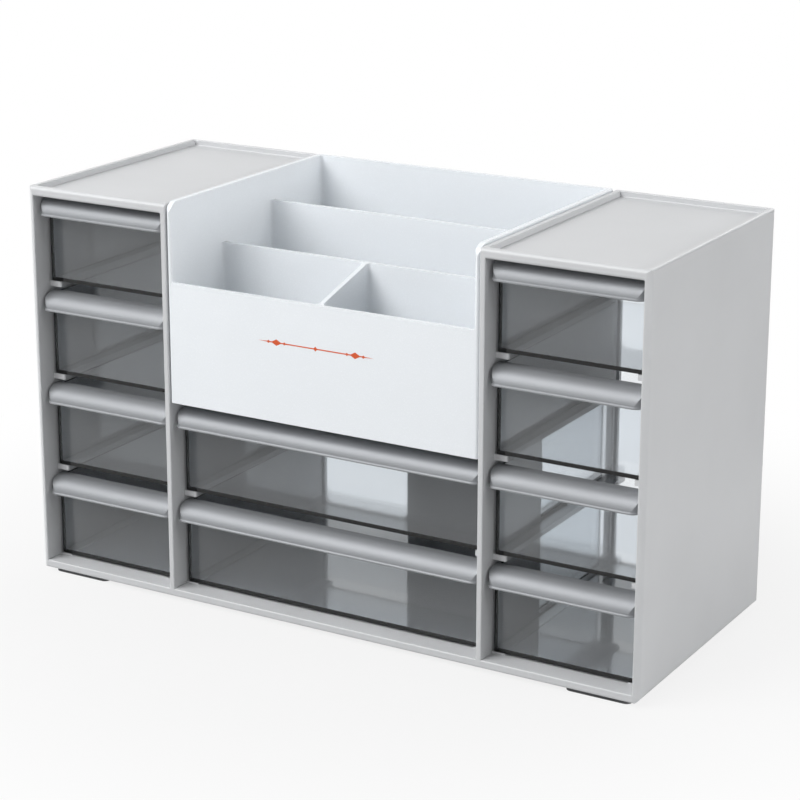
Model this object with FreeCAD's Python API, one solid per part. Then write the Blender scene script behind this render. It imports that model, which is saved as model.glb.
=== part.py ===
import FreeCAD, Part
import math
import os

from FreeCAD import Vector

# Desktop drawer organizer: two towers of small drawers, two wide drawers between them,
# and a lift-out compartment box above the wide drawers.
# Millimetres. +Z is up, the drawers face -Y, the origin is under the middle of the body.

# Casing walls
outer_wall = 3.2
partition_wall = 2.8
back_wall = 2.8
base_thickness = 4.0
tower_floor_thickness = 2.0
deck_thickness = 3.0
deck_setback = 12.0

# Bays between the walls
small_bay_width = 77.6
wide_bay_width = 172.8
depth = 143.0
front_setback = 11.0

# Rows of drawers
tower_rows = 4
wide_rows = 2
top_clearance = 1.6
head_clearance = 2.1
seat_clearance = 0.3
runner_thickness = 2.8
runner_width = 7.0
runner_tip_radius = 1.0
base_rail_height = 0.7

# Raised rims round the tower tops
rim_height = 3.0
rim_bar = 3.0

# Rounded edges of the casing
edge_land = 0.2
bottom_edge_radius = 1.0
side_top_radius = 1.2
rim_edge_radius = 0.5
opening_edge_radius = 0.6
lintel_radius = 1.2

# Windows in the back and in the right partition
window_margin = 2.0
window_sill = 2.5
window_corner_radius = 4.0
tower_window_head = 12.4
middle_window_head = 2.4
middle_band_width = 63.0
side_window_start = 58.8
side_window_back_margin = 2.2
side_window_corner_radius = 2.5

# Drawer tubs
drawer_tub_height = 42.4
drawer_side_clearance = 0.8
drawer_back_clearance = 1.5
drawer_wall = 1.2
drawer_front_wall = 1.6
drawer_floor = 1.6
drawer_front_corner_radius = 1.0
drawer_inner_front_radius = 1.0
drawer_back_corner_radius = 6.0

# Hooded pulls
pull_radius = 8.6
pull_wall = 1.4
pull_corner_radius = 4.5
pull_lip_reach = 0.6
pull_lip_height = 1.1
pull_lip_bevel = 0.5
pull_leg_thickness = 1.3
pull_leg_length = 4.6
pull_leg_clearance = 0.3

# Lift-out compartment box
box_side_clearance = 0.4
box_front_gap = 0.6
box_back_clearance = 1.0
box_rise = 0.8
box_wall = 2.6
box_floor = 2.4
box_corner_radius = 1.5
box_shoulder_radius = 6.0
box_shelf_corner_radius = 1.0
box_wall_edge_radius = 1.4
box_front_panel_height = 61.0
box_front_divider_height = 72.5
box_back_divider_height = 85.6
box_divider_wall = 2.2
front_pocket_depth = 41.5
middle_pocket_depth = 42.0
pocket_corner_radius = 2.0

# Feet
foot_thickness = 2.4
foot_length = 33.0
foot_width = 12.0
foot_corner_radius = 3.0
foot_side_inset = 5.5
foot_end_inset = 3.0

# Places across the width, from the middle outward
partition_inner = wide_bay_width / 2
partition_outer = partition_inner + partition_wall
side_inner = partition_outer + small_bay_width
half_width = side_inner + outer_wall

# Places along the depth
front = -depth / 2
back = depth / 2
back_inner = back - back_wall
drawer_face = front + front_setback
drawer_back = back_inner - drawer_back_clearance

# Heights
drawer_height = drawer_tub_height + pull_wall
row_pitch = drawer_height + head_clearance + runner_thickness + seat_clearance
casing_bottom = foot_thickness
base_top = casing_bottom + base_thickness
first_row_bottom = base_top + base_rail_height + seat_clearance
tower_ceiling = first_row_bottom + (tower_rows - 1) * row_pitch + drawer_height + top_clearance
tower_floor = tower_ceiling + tower_floor_thickness
casing_top = tower_floor + rim_height
deck_underside = first_row_bottom + (wide_rows - 1) * row_pitch + drawer_height + top_clearance
deck_top = deck_underside + deck_thickness

# Rounded edges that their walls limit
outer_edge_radius = outer_wall - edge_land
top_edge_radius = rim_bar - 2 * rim_edge_radius

# Places of the compartment box
box_half_width = partition_inner - box_side_clearance
box_front = front + box_front_gap
box_back = back_inner - box_back_clearance
box_top = casing_top + box_rise
box_floor_top = deck_top + box_floor
box_shelf_top = deck_top + box_front_panel_height
front_divider_top = deck_top + box_front_divider_height
back_divider_top = deck_top + box_back_divider_height
front_divider_face = box_front + box_wall + front_pocket_depth
back_divider_face = front_divider_face + box_divider_wall + middle_pocket_depth

AXES = "XYZ"
CUT_MARGIN = 5.0
TOLERANCE = 1e-4


def rounded_wire(points, radii):
    """Closed wire through the points, with an arc of its own radius at each corner."""
    count = len(points)
    starts = []
    ends = []
    middles = []
    for index, corner in enumerate(points):
        before = (points[index - 1] - corner).normalize()
        after = (points[(index + 1) % count] - corner).normalize()
        half_angle = before.getAngle(after) / 2
        reach = radii[index] / math.tan(half_angle)
        inward = (before + after).normalize()
        centre = corner + inward * (radii[index] / math.sin(half_angle))
        starts.append(corner + before * reach)
        ends.append(corner + after * reach)
        middles.append(centre - inward * radii[index])
    edges = []
    for index in range(count):
        if radii[index] > TOLERANCE:
            edges.append(Part.Arc(starts[index], middles[index], ends[index]).toShape())
        next_start = starts[(index + 1) % count]
        if ends[index].distanceToPoint(next_start) > TOLERANCE:
            edges.append(Part.LineSegment(ends[index], next_start).toShape())
    return Part.Wire(edges)


def prism(points, radii, travel):
    """Solid made by moving a rounded outline along a straight line."""
    return Part.Face(rounded_wire(points, radii)).extrude(travel)


def block(x_span, y_span, z_span):
    """Plain block between three pairs of limits."""
    corner = Vector(x_span[0], y_span[0], z_span[0])
    sizes = [span[1] - span[0] for span in (x_span, y_span, z_span)]
    return Part.makeBox(sizes[0], sizes[1], sizes[2], corner)


def rounded_block(x_span, y_span, z_span, axis, radii):
    """Block whose four edges along one axis are rounded.

    The corners are taken in turn round the axis: (low, low), (high, low), (high, high)
    and (low, high) in the two directions that follow the axis in the order X, Y, Z.
    """
    spans = (x_span, y_span, z_span)
    first = AXES.index(axis)
    second = AXES.index(AXES[first - 2])
    third = AXES.index(AXES[first - 1])
    points = []
    for pick_second, pick_third in ((0, 0), (1, 0), (1, 1), (0, 1)):
        place = [0.0, 0.0, 0.0]
        place[first] = spans[first][0]
        place[second] = spans[second][pick_second]
        place[third] = spans[third][pick_third]
        points.append(Vector(*place))
    travel = [0.0, 0.0, 0.0]
    travel[first] = spans[first][1] - spans[first][0]
    return prism(points, radii, Vector(*travel))


def side_profile(points, radii, x_span):
    """Solid from an outline in the YZ plane, given as (y, z) pairs, between two x limits."""
    outline = [Vector(x_span[0], y, z) for y, z in points]
    return prism(outline, radii, Vector(x_span[1] - x_span[0], 0, 0))


def rounded_edge(shape, start, end, into_first, into_second, radius):
    """Rounds a straight outer edge between two points along it.

    The two directions point from the edge into the two faces that meet there.
    """
    clear = (into_first + into_second) * -CUT_MARGIN
    on_first = start + into_first * radius
    on_second = start + into_second * radius
    centre = start + (into_first + into_second) * radius
    bulge = (into_first + into_second).normalize()
    outline = Part.Wire([
        Part.Arc(on_first, centre - bulge * radius, on_second).toShape(),
        Part.LineSegment(on_second, on_second - into_first * CUT_MARGIN).toShape(),
        Part.LineSegment(on_second - into_first * CUT_MARGIN, start + clear).toShape(),
        Part.LineSegment(start + clear, on_first - into_second * CUT_MARGIN).toShape(),
        Part.LineSegment(on_first - into_second * CUT_MARGIN, on_first).toShape(),
    ])
    return shape.cut(Part.Face(outline).extrude(end - start))


def joined(shapes):
    """One solid from touching shapes, with the seams between flat faces removed."""
    return shapes[0].multiFuse(shapes[1:]).removeSplitter()


def mirrored(shape):
    """The same piece for the other side of the body."""
    return shape.mirror(Vector(0, 0, 0), Vector(1, 0, 0))


def row_bottom(row):
    """Height of a drawer's underside; row 0 is the lowest."""
    return first_row_bottom + row * row_pitch


def runner_span(row):
    """Heights of the runners that carry a row."""
    top = row_bottom(row) - seat_clearance
    return (top - runner_thickness, top)


def runners(wall_face, direction, rows):
    """Ledges along a wall, from the drawer fronts to the back panel."""
    inner = wall_face + direction * runner_width
    x_span = (min(wall_face, inner), max(wall_face, inner))
    tip = runner_tip_radius
    radii = (0, tip, 0, 0) if direction > 0 else (tip, 0, 0, 0)
    ledges = []
    for row in rows:
        ledges.append(rounded_block(x_span, (drawer_face, back_inner), runner_span(row), "Z", radii))
    return ledges


def side_wall():
    """Left outer wall: rounded outer edges and three runners inside."""
    spans = ((-half_width, -side_inner), (front, back), (casing_bottom, casing_top))
    seen_from_side = rounded_block(
        *spans, "X", (bottom_edge_radius, bottom_edge_radius, top_edge_radius, top_edge_radius))
    seen_from_above = rounded_block(*spans, "Z", (outer_edge_radius, 0, 0, outer_edge_radius))
    seen_from_front = rounded_block(*spans, "Y", (outer_edge_radius, side_top_radius, 0, 0))
    wall = seen_from_side.common(seen_from_above).common(seen_from_front)
    outward = Vector(-1, 0, 0)
    wall = rounded_edge(
        wall, Vector(-side_inner, front, base_top), Vector(-side_inner, front, tower_ceiling),
        outward, Vector(0, 1, 0), opening_edge_radius)
    wall = rounded_edge(
        wall, Vector(-side_inner, front + rim_bar, casing_top),
        Vector(-side_inner, back - rim_bar, casing_top),
        outward, Vector(0, 0, -1), rim_edge_radius)
    return joined([wall] + runners(-side_inner, 1, range(1, tower_rows)))


def side_windows():
    """Cutters for the openings in the right partition beside the wide drawers."""
    wall = (partition_inner - CUT_MARGIN, partition_outer + CUT_MARGIN)
    along = (front + side_window_start, back_inner - side_window_back_margin)
    radii = [side_window_corner_radius] * 4
    cutters = []
    for row in range(wide_rows):
        low = runner_span(row)[1] if row > 0 else base_top + window_sill
        last = row == wide_rows - 1
        high = deck_underside - middle_window_head if last else runner_span(row + 1)[0]
        cutters.append(rounded_block(wall, along, (low, high), "X", radii))
    return cutters


def partition():
    """Left partition: stands on the base panel, runners on both faces."""
    x_span = (-partition_outer, -partition_inner)
    spans = (x_span, (front, back), (base_top, casing_top))
    seen_from_side = rounded_block(*spans, "X", (0, 0, top_edge_radius, top_edge_radius))
    seen_from_above = rounded_block(*spans, "Z", (0, opening_edge_radius, opening_edge_radius, 0))
    seen_from_front = rounded_block(*spans, "Y", (0, 0, opening_edge_radius, 0))
    wall = seen_from_side.common(seen_from_above).common(seen_from_front)
    toward_bay = Vector(1, 0, 0)
    wall = rounded_edge(
        wall, Vector(-partition_outer, front, base_top), Vector(-partition_outer, front, tower_ceiling),
        toward_bay, Vector(0, 1, 0), opening_edge_radius)
    wall = rounded_edge(
        wall, Vector(-partition_outer, front + rim_bar, casing_top),
        Vector(-partition_outer, back - rim_bar, casing_top),
        toward_bay, Vector(0, 0, -1), rim_edge_radius)
    tower_ledges = runners(-partition_outer, -1, range(1, tower_rows))
    bay_ledges = runners(-partition_inner, 1, range(1, wide_rows))
    return joined([wall] + tower_ledges + bay_ledges)


def partition_with_windows():
    """Right partition: the left one mirrored, open beside the wide drawers."""
    return mirrored(partition()).cut(side_windows()).removeSplitter()


def bay_spans():
    """X limits of the left tower, the middle bay and the right tower."""
    return (
        (-side_inner, -partition_outer),
        (-partition_inner, partition_inner),
        (partition_outer, side_inner),
    )


def base_panel():
    """Bottom panel across all bays, with low rails under the lowest drawers."""
    panel = rounded_block(
        (-side_inner, side_inner), (front, back), (casing_bottom, base_top), "X",
        (bottom_edge_radius, bottom_edge_radius, 0, 0))
    rails = []
    for left, right in bay_spans():
        panel = rounded_edge(
            panel, Vector(left, front, base_top), Vector(right, front, base_top),
            Vector(0, 1, 0), Vector(0, 0, -1), opening_edge_radius)
        for rail in ((left, left + runner_width), (right - runner_width, right)):
            rails.append(block(rail, (drawer_face, back_inner), (base_top, base_top + base_rail_height)))
    return joined([panel] + rails)


def tower_top():
    """Recessed top of the left tower: a floor between a front bar and a back bar."""
    points = [
        (front, tower_ceiling), (back, tower_ceiling), (back, casing_top),
        (back - rim_bar, casing_top), (back - rim_bar, tower_floor),
        (front + rim_bar, tower_floor), (front + rim_bar, casing_top), (front, casing_top),
    ]
    radii = [
        lintel_radius, 0, top_edge_radius,
        rim_edge_radius, rim_edge_radius,
        rim_edge_radius, rim_edge_radius, top_edge_radius,
    ]
    return side_profile(points, radii, (-side_inner, -partition_outer))


def tower_back():
    """Back frame of the left tower with one tall window."""
    x_span = (-side_inner, -partition_outer)
    plate = block(x_span, (back_inner, back), (base_top, tower_ceiling))
    window = rounded_block(
        (x_span[0] + window_margin, x_span[1] - window_margin), (back_inner - CUT_MARGIN, back + CUT_MARGIN),
        (base_top + window_sill, tower_ceiling - tower_window_head), "Y", [window_corner_radius] * 4)
    return plate.cut(window)


def middle_back():
    """Back panel of the middle bay: closed above, two windows beside a solid band below."""
    plate = block((-partition_inner, partition_inner), (back_inner, back), (base_top, tower_floor))
    window = rounded_block(
        (middle_band_width / 2, partition_inner - window_margin),
        (back_inner - CUT_MARGIN, back + CUT_MARGIN),
        (base_top + window_sill, deck_underside - middle_window_head), "Y", [window_corner_radius] * 4)
    return plate.cut([window, mirrored(window)])


def deck():
    """Shelf over the wide drawers that carries the compartment box."""
    return block(
        (-partition_inner, partition_inner), (front + deck_setback, back_inner), (deck_underside, deck_top))


def foot(side, end):
    """One pad; side is -1 for left and 1 for right, end is -1 for front and 1 for back."""
    outer_x = side * (half_width - foot_side_inset)
    inner_x = outer_x - side * foot_length
    outer_y = end * (depth / 2 - foot_end_inset)
    inner_y = outer_y - end * foot_width
    return rounded_block(
        sorted((outer_x, inner_x)), sorted((outer_y, inner_y)), (0, foot_thickness),
        "Z", [foot_corner_radius] * 4)


def pocket(x_span, y_span):
    """Inside of one compartment, with rounded upright corners."""
    return rounded_block(
        x_span, y_span, (box_floor_top, box_top + CUT_MARGIN), "Z", [pocket_corner_radius] * 4)


def tray_box():
    """Compartment box: low front panel, two stepped dividers and a short sloped divider."""
    outside = rounded_block(
        (-box_half_width, box_half_width), (box_front, box_back), (deck_top, box_top),
        "Z", [box_corner_radius] * 4)
    shoulders = rounded_block(
        (-box_half_width, box_half_width), (box_front, box_back), (deck_top, box_top),
        "X", (0, 0, 0, box_shoulder_radius))
    shell = outside.common(shoulders)

    inner = box_half_width - box_wall
    half_divider = box_divider_wall / 2
    panel_back = box_front + box_wall
    front_divider_back = front_divider_face + box_divider_wall
    back_divider_back = back_divider_face + box_divider_wall
    pockets = [
        pocket((-inner, -half_divider), (panel_back, front_divider_face)),
        pocket((half_divider, inner), (panel_back, front_divider_face)),
        pocket((-inner, inner), (front_divider_back, back_divider_face)),
        pocket((-inner, inner), (back_divider_back, box_back - box_wall)),
    ]
    shell = shell.cut(pockets)

    over_front = rounded_block(
        (-inner, inner), (box_front - CUT_MARGIN, panel_back), (box_shelf_top, box_top + CUT_MARGIN),
        "Y", (box_shelf_corner_radius, 0, 0, box_shelf_corner_radius))
    over_short_divider = side_profile(
        [(panel_back, box_shelf_top), (front_divider_face, front_divider_top),
         (front_divider_face, box_top + CUT_MARGIN), (panel_back, box_top + CUT_MARGIN)],
        [0, 0, 0, 0], (-inner, inner))
    over_front_divider = block(
        (-inner, inner), (front_divider_face, front_divider_back + pocket_corner_radius),
        (front_divider_top, box_top + CUT_MARGIN))
    over_back_divider = block(
        (-inner, inner), (back_divider_face - pocket_corner_radius, back_divider_back + pocket_corner_radius),
        (back_divider_top, box_top + CUT_MARGIN))
    shell = shell.cut([over_front, over_short_divider, over_front_divider, over_back_divider])
    for side in (-1, 1):
        shell = rounded_edge(
            shell, Vector(side * inner, box_front, box_shelf_top + box_shelf_corner_radius),
            Vector(side * inner, box_front, box_top),
            Vector(side, 0, 0), Vector(0, 1, 0), box_wall_edge_radius)
    return shell.removeSplitter()


def drawer(bay, row):
    """Clear tub with rounded corners, open above."""
    left = bay[0] + drawer_side_clearance
    right = bay[1] - drawer_side_clearance
    bottom = row_bottom(row)
    top = bottom + drawer_tub_height
    outside = rounded_block(
        (left, right), (drawer_face, drawer_back), (bottom, top), "Z",
        (drawer_front_corner_radius, drawer_front_corner_radius,
         drawer_back_corner_radius, drawer_back_corner_radius))
    inner_back_radius = drawer_back_corner_radius - drawer_wall
    inside = rounded_block(
        (left + drawer_wall, right - drawer_wall), (drawer_face + drawer_front_wall, drawer_back - drawer_wall),
        (bottom + drawer_floor, top + CUT_MARGIN), "Z",
        (drawer_inner_front_radius, drawer_inner_front_radius, inner_back_radius, inner_back_radius))
    return outside.cut(inside)


def hood(x_span, radius, corner_radius, top, overrun):
    """Quarter-round bar along X in front of the drawer, with rounded front corners in plan.

    The overrun lengthens it past its straight lower and back faces.
    """
    y_span = (drawer_face - radius, drawer_face + overrun)
    z_span = (top - radius - overrun, top)
    quarter = rounded_block(x_span, y_span, z_span, "X", (0, 0, 0, radius))
    plan = rounded_block(x_span, y_span, z_span, "Z", (corner_radius, corner_radius, 0, 0))
    return quarter.common(plan)


def pull(bay, row):
    """Hood over the drawer's front edge, open underneath, with a cap and a leg behind the front wall."""
    left = bay[0] + drawer_side_clearance
    right = bay[1] - drawer_side_clearance
    top = row_bottom(row) + drawer_height
    cap_underside = top - pull_wall
    lowest = top - pull_radius
    panel_back = drawer_face + drawer_front_wall
    cap_back = panel_back + pull_leg_thickness
    outside = hood((left, right), pull_radius, pull_corner_radius, top, 0)
    inside = hood(
        (left + pull_wall, right - pull_wall), pull_radius - pull_wall, pull_corner_radius - pull_wall,
        cap_underside, CUT_MARGIN)
    lip = rounded_block(
        (left, right), (drawer_face - pull_radius - pull_lip_reach, drawer_face),
        (lowest, lowest + pull_lip_height), "Z", (pull_corner_radius, pull_corner_radius, 0, 0))
    upper_edges = [
        edge for edge in lip.Edges
        if edge.BoundBox.ZMin > lowest + TOLERANCE and edge.BoundBox.YMin < drawer_face - TOLERANCE
    ]
    lip = lip.makeChamfer(pull_lip_bevel, upper_edges)
    cap = block((left, right), (drawer_face, cap_back), (cap_underside, top))
    leg_inset = drawer_wall + drawer_inner_front_radius + pull_leg_clearance
    leg = block(
        (left + leg_inset, right - leg_inset), (panel_back, cap_back),
        (cap_underside - pull_leg_length, cap_underside))
    return joined([joined([outside, lip]).cut(inside), cap, leg])


def build():
    """All nodes by name."""
    left_bay, middle_bay, right_bay = bay_spans()
    nodes = {
        "side_left": side_wall(),
        "partition_left": partition(),
        "partition_right": partition_with_windows(),
        "base_panel": base_panel(),
        "top_left": tower_top(),
        "back_left": tower_back(),
        "back_middle": middle_back(),
        "deck": deck(),
        "tray_box": tray_box(),
    }
    for name in ("side", "top", "back"):
        nodes[name + "_right"] = mirrored(nodes[name + "_left"])
    for name, side, end in (("fl", -1, -1), ("fr", 1, -1), ("bl", -1, 1), ("br", 1, 1)):
        nodes["foot_" + name] = foot(side, end)
    for name, bay, rows in (
            ("left", left_bay, tower_rows), ("right", right_bay, tower_rows), ("wide", middle_bay, wide_rows)):
        for row in range(rows):
            label = name + "_" + str(rows - row)
            nodes["drawer_" + label] = drawer(bay, row)
            nodes["pull_" + label] = pull(bay, row)
    return nodes


os.makedirs("parts", exist_ok=True)
for node_name, solid in build().items():
    solid.exportStep("parts/" + node_name + ".step")
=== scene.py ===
import math

import bpy
from mathutils import Matrix, Vector


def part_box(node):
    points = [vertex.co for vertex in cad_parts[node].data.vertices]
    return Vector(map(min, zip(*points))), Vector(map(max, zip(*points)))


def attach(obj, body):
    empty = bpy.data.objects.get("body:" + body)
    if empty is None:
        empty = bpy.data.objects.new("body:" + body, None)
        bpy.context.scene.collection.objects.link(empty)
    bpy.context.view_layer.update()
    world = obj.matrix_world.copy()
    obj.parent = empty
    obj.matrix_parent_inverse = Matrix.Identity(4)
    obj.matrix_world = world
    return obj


# Desktop drawer organizer: finish, print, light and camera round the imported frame.
# Metres. +Z is up and the drawers face -Y.

# Camera, as fitted to the photograph's edges; angles in degrees, lens and sensor in millimetres
CAMERA_PLACE = Vector((0.5730, -0.9725, 0.4524))
CAMERA_YAW = 30.36
CAMERA_PITCH = 16.14
CAMERA_ROLL = 0.08
CAMERA_LENS = 106.3
CAMERA_SENSOR = 36.0
CAMERA_SHIFT_Y = -0.06

# Colours, in linear light
CASING_COLOUR = (0.585, 0.594, 0.606)
BOX_COLOUR = (0.820, 0.851, 0.881)
PULL_COLOUR = (0.260, 0.270, 0.284)
FOOT_COLOUR = (0.110, 0.113, 0.118)
PRINT_COLOUR = (0.640, 0.090, 0.018)
DRAWER_TINT = (0.942, 0.967, 0.992)
# Painted shade: near-black colour of the dark strips along the drawers' front edges
DRAWER_PAINTED_EDGE_SHADE = (0.004, 0.004, 0.005)

# Moulded surfaces: clouds, ripples and grain in waves per metre, and the height of the relief
CLOUD_SCALE = 22.0
RIPPLE_SCALE = 30.0
RIPPLE_HEIGHT = 0.0004
GRAIN_HEIGHT = 0.00005
CASING_GRAIN = {"scale": 1600.0, "strength": 0.12, "ripple": 0.05}
BOX_GRAIN = {"scale": 2600.0, "strength": 0.01, "ripple": 0.04}
PULL_GRAIN = {"scale": 2000.0, "strength": 0.10, "ripple": 0.04}
FOOT_GRAIN = {"scale": 1400.0, "strength": 0.5, "ripple": 0.1}
PRINT_GRAIN = {"scale": 3000.0, "strength": 0.05, "ripple": 0.02}

# Lowest and highest roughness of each finish, and the part of a noise that counts
CASING_ROUGHNESS = (0.34, 0.44)
BOX_ROUGHNESS = (0.24, 0.28)
PULL_ROUGHNESS = (0.46, 0.54)
FOOT_ROUGHNESS = (0.65, 0.80)
PRINT_ROUGHNESS = (0.40, 0.50)
NOISE_RANGE = (0.3, 0.7)

# Clear plastic of the drawers
DRAWER_IOR = 1.5
DRAWER_CLEARNESS = 0.965
DRAWER_ROUGHNESS = (0.02, 0.05)
DRAWER_CLOUD_SCALE = 16.0
DRAWER_CLOUD_CHANGE = 0.015
DRAWER_RIPPLE_SCALE = 26.0
DRAWER_RIPPLE_STRENGTH = 0.03

# Painted shade on a drawer's front, where one looks along the plastic sheet: sizes of its dark strips
DRAWER_FRONT_EDGE = 0.0017
DRAWER_LOWER_EDGE = 0.0017
DRAWER_SIDE_EDGE = 0.0010

# Rule printed on the front of the lift-out box, with half sizes of its lozenges
PRINT_MIDDLE_X = -0.0013
PRINT_HEIGHT = 0.1446
PRINT_HALF_LENGTH = 0.0322
PRINT_STRAIGHT_SHARE = 0.8
PRINT_RULE_HALF = 0.0003
PRINT_THICKNESS = 0.00003
MIDDLE_LOZENGE = (0.0012, 0.0012)
KNOT_LOZENGE = (0.0030, 0.0016)
KNOT_SHARE = 0.68
SMALL_LOZENGE = (0.0010, 0.0008)
SMALL_LOZENGE_STEP = 0.0045

# White background: where the backdrop stands from the object and which way it runs, the share
# of white that a gloss or clear plastic shows in front of the object and beside the backdrop,
# and where its white ends, as part of a direction in the sky and in metres on the floor
BACKDROP_AXIS = (-0.505, 0.863, 0.0)
BACKDROP_SIDE = (0.863, 0.505, 0.0)
BACKDROP_BLEND = (-0.08, 0.08)
FRONT_WHITE = 0.45
SIDE_WHITE = 0.08
SKY_EDGES = (0.30, 0.60)
FLOOR_EDGES = (0.30, 0.44)

# What the sky adds to the light
SKY_FILL = 0.12

# Floor: its grey, and the share of white over it, which grows with the way from the object
FLOOR_COLOUR = (0.50, 0.50, 0.50)
FLOOR_ROUGHNESS = 0.9
FLOOR_SPECULAR = 0.1
FLOOR_REACH = 6.0
FLOOR_FADE = (0.12, 0.38)
FLOOR_NEAR_WHITE = 0.82

# Soft square lamps: place, size and watts; all face one point
LAMP_TARGET = (0, 0, 0.1)
LAMPS = {
    "lamp_key": ((-0.95, -1.35, 1.62), 1.5, 49.5),
    "lamp_front": ((0.9, -1.8, 0.9), 1.2, 5.0),
    "lamp_right": ((1.9, 0.05, 0.7), 0.9, 19.0),
    "lamp_left": ((-1.9, 0.0, 0.8), 1.0, 12.0),
    "lamp_back": ((0.2, 2.0, 1.1), 1.0, 10.0),
}

# Sockets of a Mix node that mixes colours
MIX_SHARE = 0
MIX_FIRST = 6
MIX_SECOND = 7
MIX_RESULT = 2


def new_material(name):
    """Material's node tree and its Principled shader, and the material."""
    material = bpy.data.materials.new(name)
    material.use_nodes = True
    tree = material.node_tree
    return material, tree, tree.nodes["Principled BSDF"]


def add(tree, kind, **values):
    """New node with its options and input values set by name."""
    node = tree.nodes.new(kind)
    for key, value in values.items():
        if hasattr(node, key):
            setattr(node, key, value)
        else:
            node.inputs[key].default_value = value
    return node


def maths(tree, operation, *values):
    """Result of a maths node; each value is a socket or a number."""
    node = add(tree, "ShaderNodeMath", operation=operation)
    for slot, value in zip(node.inputs, values):
        if isinstance(value, bpy.types.NodeSocket):
            tree.links.new(value, slot)
        else:
            slot.default_value = value
    return node.outputs[0]


def ramp(tree, source, limits, results, form="SMOOTHSTEP"):
    """Takes a value from one range to another, by default with soft ends."""
    node = add(tree, "ShaderNodeMapRange", interpolation_type=form)
    node.inputs["From Min"].default_value = limits[0]
    node.inputs["From Max"].default_value = limits[1]
    node.inputs["To Min"].default_value = results[0]
    node.inputs["To Max"].default_value = results[1]
    tree.links.new(source, node.inputs["Value"])
    return node.outputs["Result"]


def noise(tree, scale, detail):
    """Noise over the object's own coordinates; the scale is in waves per metre."""
    place = add(tree, "ShaderNodeTexCoord")
    texture = add(tree, "ShaderNodeTexNoise", Scale=scale, Detail=detail)
    tree.links.new(place.outputs["Object"], texture.inputs["Vector"])
    return texture.outputs["Fac"]


def spread(tree, source, results):
    """Takes a noise value to a range."""
    return ramp(tree, source, NOISE_RANGE, results, form="LINEAR")


def shaded_colour(tree, source, colour, change):
    """The colour, a little darker or lighter with the noise."""
    mix = add(tree, "ShaderNodeMix", data_type="RGBA")
    mix.inputs[MIX_FIRST].default_value = [part * (1 - change) for part in colour] + [1]
    mix.inputs[MIX_SECOND].default_value = [min(1, part * (1 + change)) for part in colour] + [1]
    tree.links.new(spread(tree, source, (0, 1)), mix.inputs[MIX_SHARE])
    return mix.outputs[MIX_RESULT]


def bump(tree, reliefs):
    """Normal from a chain of reliefs; each is a height, a strength and a distance in metres."""
    normal = None
    for height, strength, distance in reliefs:
        node = add(tree, "ShaderNodeBump", Strength=strength, Distance=distance)
        tree.links.new(height, node.inputs["Height"])
        if normal:
            tree.links.new(normal, node.inputs["Normal"])
        normal = node.outputs["Normal"]
    return normal


def moulded(name, colour, roughness, grain, change=0.02, metal=0.0):
    """Moulded plastic: faint cloudiness, a fine surface grain and slow ripples."""
    material, tree, shader = new_material(name)
    clouds = noise(tree, CLOUD_SCALE, detail=3.0)
    grains = noise(tree, grain["scale"], detail=1.0)
    ripples = noise(tree, RIPPLE_SCALE, detail=0.0)
    tree.links.new(shaded_colour(tree, clouds, colour, change), shader.inputs["Base Color"])
    tree.links.new(spread(tree, grains, roughness), shader.inputs["Roughness"])
    normal = bump(tree, [
        (ripples, grain["ripple"], RIPPLE_HEIGHT),
        (grains, grain["strength"], GRAIN_HEIGHT),
    ])
    tree.links.new(normal, shader.inputs["Normal"])
    shader.inputs["Metallic"].default_value = metal
    return material


def painted_edge_shade_mask(tree, size):
    """Painted shade mask: 1 along a drawer front's lower and upright edges, where one looks along the
    sheet.
    """
    place = add(tree, "ShaderNodeTexCoord")
    parts = add(tree, "ShaderNodeSeparateXYZ")
    tree.links.new(place.outputs["Generated"], parts.inputs[0])
    across, deep, up = parts.outputs
    mirrored = maths(tree, "PINGPONG", across, 0.5)
    front = maths(tree, "LESS_THAN", deep, DRAWER_FRONT_EDGE / size.y)
    lower = maths(tree, "LESS_THAN", up, DRAWER_LOWER_EDGE / size.z)
    upright = maths(tree, "LESS_THAN", mirrored, DRAWER_SIDE_EDGE / size.x)
    return maths(tree, "MULTIPLY", maths(tree, "MAXIMUM", lower, upright), front)


def clear_plastic(name, tint, size):
    """See-through moulded styrene with a light smoke tint and painted edge shade, for a drawer of this
    size.
    """
    material, tree, shader = new_material(name)
    clouds = noise(tree, DRAWER_CLOUD_SCALE, detail=2.0)
    ripples = noise(tree, DRAWER_RIPPLE_SCALE, detail=1.0)
    # Painted shade: the near-black colour is mixed in along the front's lower and upright edges
    painted_edge_shade_mix = add(tree, "ShaderNodeMix", data_type="RGBA")
    painted_edge_shade_mix.inputs[MIX_SECOND].default_value = list(DRAWER_PAINTED_EDGE_SHADE) + [1]
    tree.links.new(shaded_colour(tree, clouds, tint, DRAWER_CLOUD_CHANGE), painted_edge_shade_mix.inputs[MIX_FIRST])
    tree.links.new(painted_edge_shade_mask(tree, size), painted_edge_shade_mix.inputs[MIX_SHARE])
    tree.links.new(painted_edge_shade_mix.outputs[MIX_RESULT], shader.inputs["Base Color"])
    tree.links.new(spread(tree, clouds, DRAWER_ROUGHNESS), shader.inputs["Roughness"])
    normal = bump(tree, [(ripples, DRAWER_RIPPLE_STRENGTH, RIPPLE_HEIGHT)])
    tree.links.new(normal, shader.inputs["Normal"])
    shader.inputs["IOR"].default_value = DRAWER_IOR
    shader.inputs["Transmission Weight"].default_value = DRAWER_CLEARNESS
    return material


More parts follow.
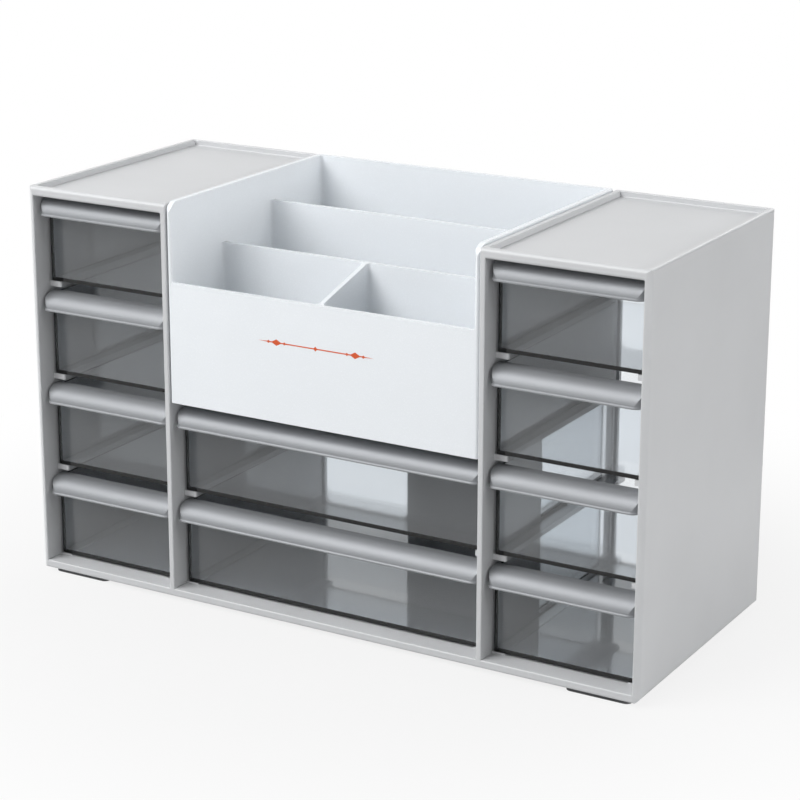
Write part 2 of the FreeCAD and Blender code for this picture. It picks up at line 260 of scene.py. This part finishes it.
def finishes():
    """Materials by the first word, or the first two words, of the names of the nodes."""
    chosen = {
        "foot": moulded("foot_rubber", FOOT_COLOUR, FOOT_ROUGHNESS, FOOT_GRAIN, change=0.08),
        "tray": moulded("box_plastic", BOX_COLOUR, BOX_ROUGHNESS, BOX_GRAIN, change=0.008),
        "pull": moulded("pull_plastic", PULL_COLOUR, PULL_ROUGHNESS, PULL_GRAIN, metal=0.35),
    }
    for row in ("left", "right", "wide"):
        low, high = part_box("drawer_" + row + "_1")
        chosen["drawer_" + row] = clear_plastic("drawer_plastic_" + row, DRAWER_TINT, high - low)
    return chosen


def dress(frame):
    """Gives every carried-over node its finish."""
    casing = moulded("casing_plastic", CASING_COLOUR, CASING_ROUGHNESS, CASING_GRAIN)
    chosen = finishes()
    for name, piece in frame["nodes"].items():
        words = name.split("_")
        material = chosen.get(words[0]) or chosen.get("_".join(words[:2]), casing)
        piece.data.materials.clear()
        piece.data.materials.append(material)


def solid_piece(name, points, faces, material):
    """Mesh object from points and faces."""
    mesh = bpy.data.meshes.new(name)
    mesh.from_pydata(points, [], faces)
    mesh.update()
    piece = bpy.data.objects.new(name, mesh)
    bpy.context.scene.collection.objects.link(piece)
    piece.data.materials.append(material)
    return piece


def printed_shape(name, outlines, face_y, material):
    """Thin print on a face that looks towards -Y; each outline is a list of (x, z) points, and
    each one stands a little further out than the one before, so that none share a plane."""
    points = []
    faces = []
    for layer, outline in enumerate(outlines):
        start = len(points)
        count = len(outline)
        points += [(x, face_y - PRINT_THICKNESS * (1 + layer / 4), z) for x, z in outline]
        points += [(x, face_y, z) for x, z in outline]
        faces.append(tuple(range(start, start + count)))
        faces.append(tuple(range(start + 2 * count - 1, start + count - 1, -1)))
        for step in range(count):
            after = (step + 1) % count
            faces.append((start + after, start + step, start + count + step, start + count + after))
    return solid_piece(name, points, faces, material)


def lozenge(middle_x, half_size):
    """Four corners of a lozenge on the rule's line, anticlockwise as seen from the front."""
    half_width, half_height = half_size
    return [
        (middle_x - half_width, PRINT_HEIGHT), (middle_x, PRINT_HEIGHT - half_height),
        (middle_x + half_width, PRINT_HEIGHT), (middle_x, PRINT_HEIGHT + half_height)]


def tapered_rule():
    """Long thin outline with short tapered ends, anticlockwise as seen from the front."""
    left = PRINT_MIDDLE_X - PRINT_HALF_LENGTH * PRINT_STRAIGHT_SHARE
    right = PRINT_MIDDLE_X + PRINT_HALF_LENGTH * PRINT_STRAIGHT_SHARE
    lower = PRINT_HEIGHT - PRINT_RULE_HALF
    upper = PRINT_HEIGHT + PRINT_RULE_HALF
    return [
        (PRINT_MIDDLE_X - PRINT_HALF_LENGTH, PRINT_HEIGHT), (left, lower), (right, lower),
        (PRINT_MIDDLE_X + PRINT_HALF_LENGTH, PRINT_HEIGHT), (right, upper), (left, upper)]


def front_ornament():
    """Plain tapered rule with small lozenges on the front of the lift-out box."""
    ink = moulded("print_ink", PRINT_COLOUR, PRINT_ROUGHNESS, PRINT_GRAIN, change=0.05)
    low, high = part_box("tray_box")
    shapes = [tapered_rule(), lozenge(PRINT_MIDDLE_X, MIDDLE_LOZENGE)]
    for side in (-1, 1):
        knot = PRINT_MIDDLE_X + side * PRINT_HALF_LENGTH * KNOT_SHARE
        shapes.append(lozenge(knot, KNOT_LOZENGE))
        for beside in (-1, 1):
            shapes.append(lozenge(knot + beside * SMALL_LOZENGE_STEP, SMALL_LOZENGE))
    piece = printed_shape("front_ornament", shapes, low.y, ink)
    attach(piece, "tray")


def area_lamp(name, place, size, power):
    """Soft square lamp that faces the object."""
    light = bpy.data.lights.new(name, "AREA")
    light.shape = "SQUARE"
    light.size = size
    light.energy = power
    lamp = bpy.data.objects.new(name, light)
    lamp.location = place
    lamp.rotation_mode = "QUATERNION"
    lamp.rotation_quaternion = (Vector(LAMP_TARGET) - Vector(place)).to_track_quat("-Z", "Y")
    bpy.context.scene.collection.objects.link(lamp)


def along(tree, coordinates, axis):
    """How far a place or direction goes along an axis."""
    node = add(tree, "ShaderNodeVectorMath", operation="DOT_PRODUCT")
    node.inputs[1].default_value = axis
    tree.links.new(coordinates, node.inputs[0])
    return node.outputs["Value"]


def white_share(tree, coordinates, edges):
    """Share of the white background on a ray: all of it from the camera. In a gloss or through
    clear plastic all of it on the backdrop, and less in front of the object and beside it."""
    path = add(tree, "ShaderNodeLightPath")
    behind = ramp(tree, along(tree, coordinates, BACKDROP_AXIS), BACKDROP_BLEND, (0, 1))
    across = maths(tree, "ABSOLUTE", along(tree, coordinates, BACKDROP_SIDE))
    share = add(tree, "ShaderNodeMix", A=FRONT_WHITE)
    tree.links.new(behind, share.inputs["Factor"])
    tree.links.new(ramp(tree, across, edges, (1, SIDE_WHITE)), share.inputs["B"])
    mirrored = maths(tree, "MAXIMUM", path.outputs["Is Glossy Ray"], path.outputs["Is Transmission Ray"])
    part = maths(tree, "MULTIPLY", mirrored, share.outputs["Result"])
    return maths(tree, "MAXIMUM", path.outputs["Is Camera Ray"], part)


def white_world():
    """White behind the object; the fill is what the sky adds to the light."""
    world = bpy.data.worlds.new("studio")
    bpy.context.scene.world = world
    world.use_nodes = True
    tree = world.node_tree
    tree.nodes.clear()
    place = add(tree, "ShaderNodeTexCoord")
    mix = add(tree, "ShaderNodeMixShader")
    output = add(tree, "ShaderNodeOutputWorld")
    for slot, strength in ((1, SKY_FILL), (2, 1.0)):
        sky = add(tree, "ShaderNodeBackground", Color=(1, 1, 1, 1), Strength=strength)
        tree.links.new(sky.outputs[0], mix.inputs[slot])
    tree.links.new(white_share(tree, place.outputs["Generated"], SKY_EDGES), mix.inputs[0])
    tree.links.new(mix.outputs[0], output.inputs[0])


def white_floor():
    """Pale floor that keeps the shadow near the object and turns to plain white further out."""
    material, tree, shader = new_material("floor_paper")
    shader.inputs["Base Color"].default_value = list(FLOOR_COLOUR) + [1]
    shader.inputs["Roughness"].default_value = FLOOR_ROUGHNESS
    shader.inputs["Specular IOR Level"].default_value = FLOOR_SPECULAR
    white = add(tree, "ShaderNodeEmission", Strength=1.0)
    place = add(tree, "ShaderNodeTexCoord").outputs["Object"]
    length = add(tree, "ShaderNodeVectorMath", operation="LENGTH")
    tree.links.new(place, length.inputs[0])
    far = ramp(tree, length.outputs["Value"], FLOOR_FADE, (FLOOR_NEAR_WHITE, 1))
    mix = add(tree, "ShaderNodeMixShader")
    tree.links.new(maths(tree, "MULTIPLY", far, white_share(tree, place, FLOOR_EDGES)), mix.inputs[0])
    tree.links.new(shader.outputs[0], mix.inputs[1])
    tree.links.new(white.outputs[0], mix.inputs[2])
    tree.links.new(mix.outputs[0], tree.nodes["Material Output"].inputs[0])
    corners = [(x * FLOOR_REACH, y * FLOOR_REACH, 0) for x, y in ((-1, -1), (1, -1), (1, 1), (-1, 1))]
    floor = solid_piece("floor", corners, [(0, 1, 2, 3)], material)


def make_camera():
    """Camera at the photograph's viewing angle."""
    data = bpy.data.cameras.new("camera")
    data.sensor_width = CAMERA_SENSOR
    data.lens = CAMERA_LENS
    data.shift_y = CAMERA_SHIFT_Y
    camera = bpy.data.objects.new("camera", data)
    turn = (
        Matrix.Rotation(math.radians(CAMERA_YAW), 4, "Z")
        @ Matrix.Rotation(math.radians(90 - CAMERA_PITCH), 4, "X")
        @ Matrix.Rotation(math.radians(CAMERA_ROLL), 4, "Z"))
    camera.matrix_world = Matrix.Translation(CAMERA_PLACE) @ turn
    bpy.context.scene.collection.objects.link(camera)
    bpy.context.scene.camera = camera


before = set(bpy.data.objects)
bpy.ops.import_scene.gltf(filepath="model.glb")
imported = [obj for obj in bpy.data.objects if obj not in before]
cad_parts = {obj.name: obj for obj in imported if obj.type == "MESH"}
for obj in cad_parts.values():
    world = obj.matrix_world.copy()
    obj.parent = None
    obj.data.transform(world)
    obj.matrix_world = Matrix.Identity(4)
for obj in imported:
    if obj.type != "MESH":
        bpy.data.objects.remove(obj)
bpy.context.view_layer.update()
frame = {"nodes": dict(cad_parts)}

dress(frame)
front_ornament()

white_world()
white_floor()
for name, (place, size, power) in LAMPS.items():
    area_lamp(name, place, size, power)
make_camera()

bpy.context.scene.view_settings.view_transform = "Standard"
